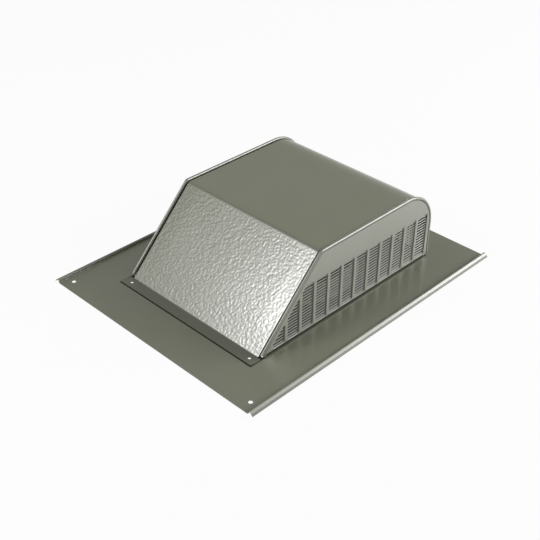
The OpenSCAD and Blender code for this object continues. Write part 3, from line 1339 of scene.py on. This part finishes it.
@dataclass
class FrontLouver:
    """The slotted sheet below the hood's front, with its folded sides and its tongue."""

    shop: Workshop
    outline: HoodOutline
    fold: SideFold = SideFold()
    end_z: float = 49.16 * MM
    tongue_z: float = 57.46 * MM
    columns: int = 8
    rows: int = 9
    blade_w: float = 4.4 * MM
    blade_angle: float = math.radians(8)
    shade_depth: float = 2.6 * MM
    foot_w: float = 12.0 * MM
    foot_clear: float = 1.0 * MM

    def build(self) -> None:
        """Builds the sheet and its slats."""
        base, front_y, flat_x = self.outline.base_z, self.outline.front_y, self.fold.flat_x
        border = [
            (-flat_x, 0.0), (flat_x, 0.0), (flat_x, self.end_z), (flat_x, self.tongue_z),
            (-flat_x, self.tongue_z), (-flat_x, self.end_z),
        ]
        place = Matrix.Translation((0, front_y - SHEET_T, base)) @ Matrix.Rotation(math.pi, 4, "Z")
        pitch = LouverSheet.column_pitch
        span = self.columns * pitch - (pitch - LouverSheet.slot_l)
        panel = LouverSheet(
            self.shop, "front_louver_sheet", border, self.columns, self.rows, field_end=span / 2,
            blade_w=self.blade_w, blade_angle=self.blade_angle,
        )
        sheet = panel.sheet()
        fold = self.fold.line(SHEET_T)
        for side in Side:
            sheet.patch([[(side.value * x, depth, z) for x, depth in fold] for z in (0.0, self.end_z)])
        foot = (0.0, SHEET_T + self.foot_w)
        sheet.patch([[(x, y, SHEET_T) for x in (-flat_x, flat_x)] for y in foot])
        made = sheet.finish(panel.name, Vector((0, -1, 0)), {})
        self.shop.thicken(made, self.shop.louver)
        made = bake(made, place)
        # Painted shade: the foot's upper face, inside the hood, gets the near-black wash.
        inner_y, foot_z = front_y - self.foot_clear, base + SHEET_T + HAIR
        coat(made, self.shop.wash_and_shade, lambda point: point.z < foot_z and point.y < inner_y)
        hand_over(made, "front_louver")
        # Painted shade: the slats get the dark enamel and, behind the front, the near-black wash, so that
        # no lit slat shows through the side slots.
        slats = panel.slats(place, False, self.shop.painted_shade)
        coat(slats, self.shop.wash_and_shade, lambda point: point.y < front_y - self.shade_depth)
        hand_over(slats, "front_louver")


@dataclass
class ThroatCollar:
    """The spun ring that stands round the opening in the flashing."""

    shop: Workshop

    def build(self) -> None:
        """Dresses the CAD node."""
        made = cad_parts["throat_collar"]
        made.data.materials.clear()
        # Painted shade: the collar gets the dark enamel, inside the hood.
        made.data.materials.append(self.shop.painted_shade)
        made.data.shade_smooth()
        made.data.set_sharp_from_angle(angle=SMOOTH_ANGLE)
        LOG.info("throat_collar: dressed")


@dataclass(frozen=True)
class SoftBox:
    """A soft lamp that looks at a point of the object. Its glow is the light that its face shows."""

    name: str
    place: Place
    size: Point
    glow: float
    aim: Place = (0.0, 0.0, 0.05)

    def build(self) -> None:
        """Makes the lamp."""
        lamp = bpy.data.lights.new(self.name, "AREA")
        lamp.shape = "RECTANGLE"
        lamp.size, lamp.size_y = self.size
        lamp.energy = self.glow * math.pi * self.size[0] * self.size[1]
        made = linked(self.name, lamp)
        made.location = self.place
        made.rotation_euler = (Vector(self.aim) - Vector(self.place)).to_track_quat("-Z", "Y").to_euler()
        made.visible_camera = False


@dataclass(frozen=True)
class Studio:
    """A white floor under plain soft light, and the camera at the photograph's angle."""

    azimuth: float = 44.137
    elevation: float = 34.472
    roll: float = 0.686
    distance: float = 1346.746 * MM
    aim: Place = (80.731 * MM, -96.265 * MM, 83.698 * MM)
    clip: Point = (0.05, 50.0)
    focal_px: float = 992.672
    frame_px: float = 540.0
    sensor_mm: float = 36.0
    horizon: float = 0.42
    ceiling: float = 0.25
    haze: Point = (0.1, 0.6)
    floor_size: float = 8.0
    floor_gap: float = 0.2 * MM
    floor_white: float = 0.94
    floor_gloss: float = 0.6
    throat: Point = (0.0, 22.0 * MM)
    throat_r: float = 115.0 * MM
    floor_tone: float = 0.85
    throat_shade_tone: float = 0.03

    def build(self) -> None:
        """Makes the camera, the world, the floor and the lamps."""
        self.camera()
        self.world()
        self.floor()
        for lamp in (
            SoftBox("key_softbox", (-0.74, -1.09, 0.97), (0.8, 0.8), 0.9, (0.1, -0.12, 0.05)),
            SoftBox("key_centre", (-0.48, -1.15, 0.98), (0.4, 0.4), 12.5, (0.12, -0.12, 0.05)),
            SoftBox("right_softbox", (1.3, 1.35, 0.8), (1.6, 0.8), 8.5),
        ):
            lamp.build()
        bpy.context.scene.view_settings.view_transform = "Standard"

    def camera(self) -> None:
        """Stands the camera where the photograph was taken from."""
        azimuth, elevation, roll = (math.radians(a) for a in (self.azimuth, self.elevation, self.roll))
        back = Vector((
            math.sin(azimuth) * math.cos(elevation), -math.cos(azimuth) * math.cos(elevation),
            math.sin(elevation),
        ))
        level = Vector((math.cos(azimuth), math.sin(azimuth), 0))
        upright = back.cross(level)
        right = level * math.cos(roll) + upright * math.sin(roll)
        up = upright * math.cos(roll) - level * math.sin(roll)
        lens = bpy.data.cameras.new("camera")
        lens.sensor_width = self.sensor_mm
        lens.lens = self.focal_px / self.frame_px * self.sensor_mm
        lens.clip_start, lens.clip_end = self.clip
        made = linked("camera", lens)
        turn = Matrix((right, up, back)).transposed().to_4x4()
        made.matrix_world = Matrix.Translation(Vector(self.aim) + back * self.distance) @ turn
        bpy.context.scene.camera = made

    def world(self) -> None:
        """Makes a white background over a soft sky that darkens overhead."""
        world = bpy.data.worlds.new("studio")
        tree = cleared(world)
        way = add(tree, "ShaderNodeSeparateXYZ", {0: add(tree, "ShaderNodeTexCoord").outputs["Generated"]})
        sky = add(tree, "ShaderNodeMapRange", {
            "interpolation_type": "SMOOTHSTEP", 0: way.outputs["Z"],
            1: self.haze[0], 2: self.haze[1], 3: self.horizon, 4: self.ceiling,
        })
        soft = add(tree, "ShaderNodeBackground", {"Color": WHITE, "Strength": sky})
        white = add(tree, "ShaderNodeBackground", {"Color": WHITE, "Strength": 1.0})
        seen = add(tree, "ShaderNodeLightPath").outputs["Is Camera Ray"]
        mixed = add(tree, "ShaderNodeMixShader", {0: seen, 1: soft, 2: white})
        add(tree, "ShaderNodeOutputWorld", {0: mixed})
        bpy.context.scene.world = world

    def floor(self) -> None:
        """Makes the pale floor, which shows white and keeps a soft shadow, with shade painted nearly black
        in a disc under the throat.
        """
        bm = bmesh.new()
        bmesh.ops.create_grid(bm, x_segments=1, y_segments=1, size=self.floor_size)
        mesh = bpy.data.meshes.new("floor")
        bm.to_mesh(mesh)
        bm.free()
        mesh.transform(Matrix.Translation((0, 0, -self.floor_gap)))
        made = bpy.data.materials.new("matt_white_floor")
        made.cycles.emission_sampling = "NONE"
        tree = cleared(made)
        path = add(tree, "ShaderNodeLightPath").outputs
        place = add(tree, "ShaderNodeTexCoord").outputs["Object"]
        middle = add(tree, "ShaderNodeCombineXYZ", {
            0: self.throat[0], 1: self.throat[1], 2: -self.floor_gap,
        })
        off = add(tree, "ShaderNodeVectorMath", {"operation": "DISTANCE", 0: place, 1: middle})
        # Painted shade: inside a disc under the throat the floor neither shows white nor reflects, and its
        # colour is nearly black.
        outside_shade_spot = add(tree, "ShaderNodeMath", {
            "operation": "GREATER_THAN", 0: off.outputs["Value"], 1: self.throat_r,
        })
        gloss = add(tree, "ShaderNodeMath", {
            "operation": "MULTIPLY", 0: path["Is Glossy Ray"], 1: self.floor_gloss,
        })
        seen = add(tree, "ShaderNodeMath", {
            "operation": "MAXIMUM", 0: path["Is Camera Ray"], 1: path["Is Transmission Ray"],
        })
        level = add(tree, "ShaderNodeMath", {
            "operation": "MULTIPLY_ADD", 0: seen, 1: self.floor_white, 2: gloss,
        })
        share = add(tree, "ShaderNodeMath", {"operation": "MULTIPLY", 0: level, 1: outside_shade_spot})
        tone = add(tree, "ShaderNodeMapRange", {0: outside_shade_spot, 3: self.throat_shade_tone, 4: self.floor_tone})
        matt = add(tree, "ShaderNodeBsdfDiffuse", {"Color": tone})
        white = add(tree, "ShaderNodeEmission", {"Color": WHITE, "Strength": 1.0})
        mixed = add(tree, "ShaderNodeMixShader", {0: share, 1: matt, 2: white})
        add(tree, "ShaderNodeOutputMaterial", {0: mixed})
        mesh.materials.append(made)
        linked("floor", mesh)


def main() -> None:
    """Builds the pieces in order, then the studio."""
    logging.basicConfig(level=logging.INFO, format="%(message)s")
    shop = Workshop()
    cover_low, cover_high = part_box("hood_cover")
    outline = HoodOutline(
        foot_y=cover_low.y + NailingFlange.length, front_y=cover_high.y, base_z=SHEET_T, top_z=cover_high.z
    )
    Flashing(shop).build()
    ThroatCollar(shop).build()
    HoodCover(shop, outline).build()
    for side in Side:
        SideLouver(shop, outline, side).build()
    FrontLouver(shop, outline).build()
    Studio().build()


if __name__ == "__main__":
    main()
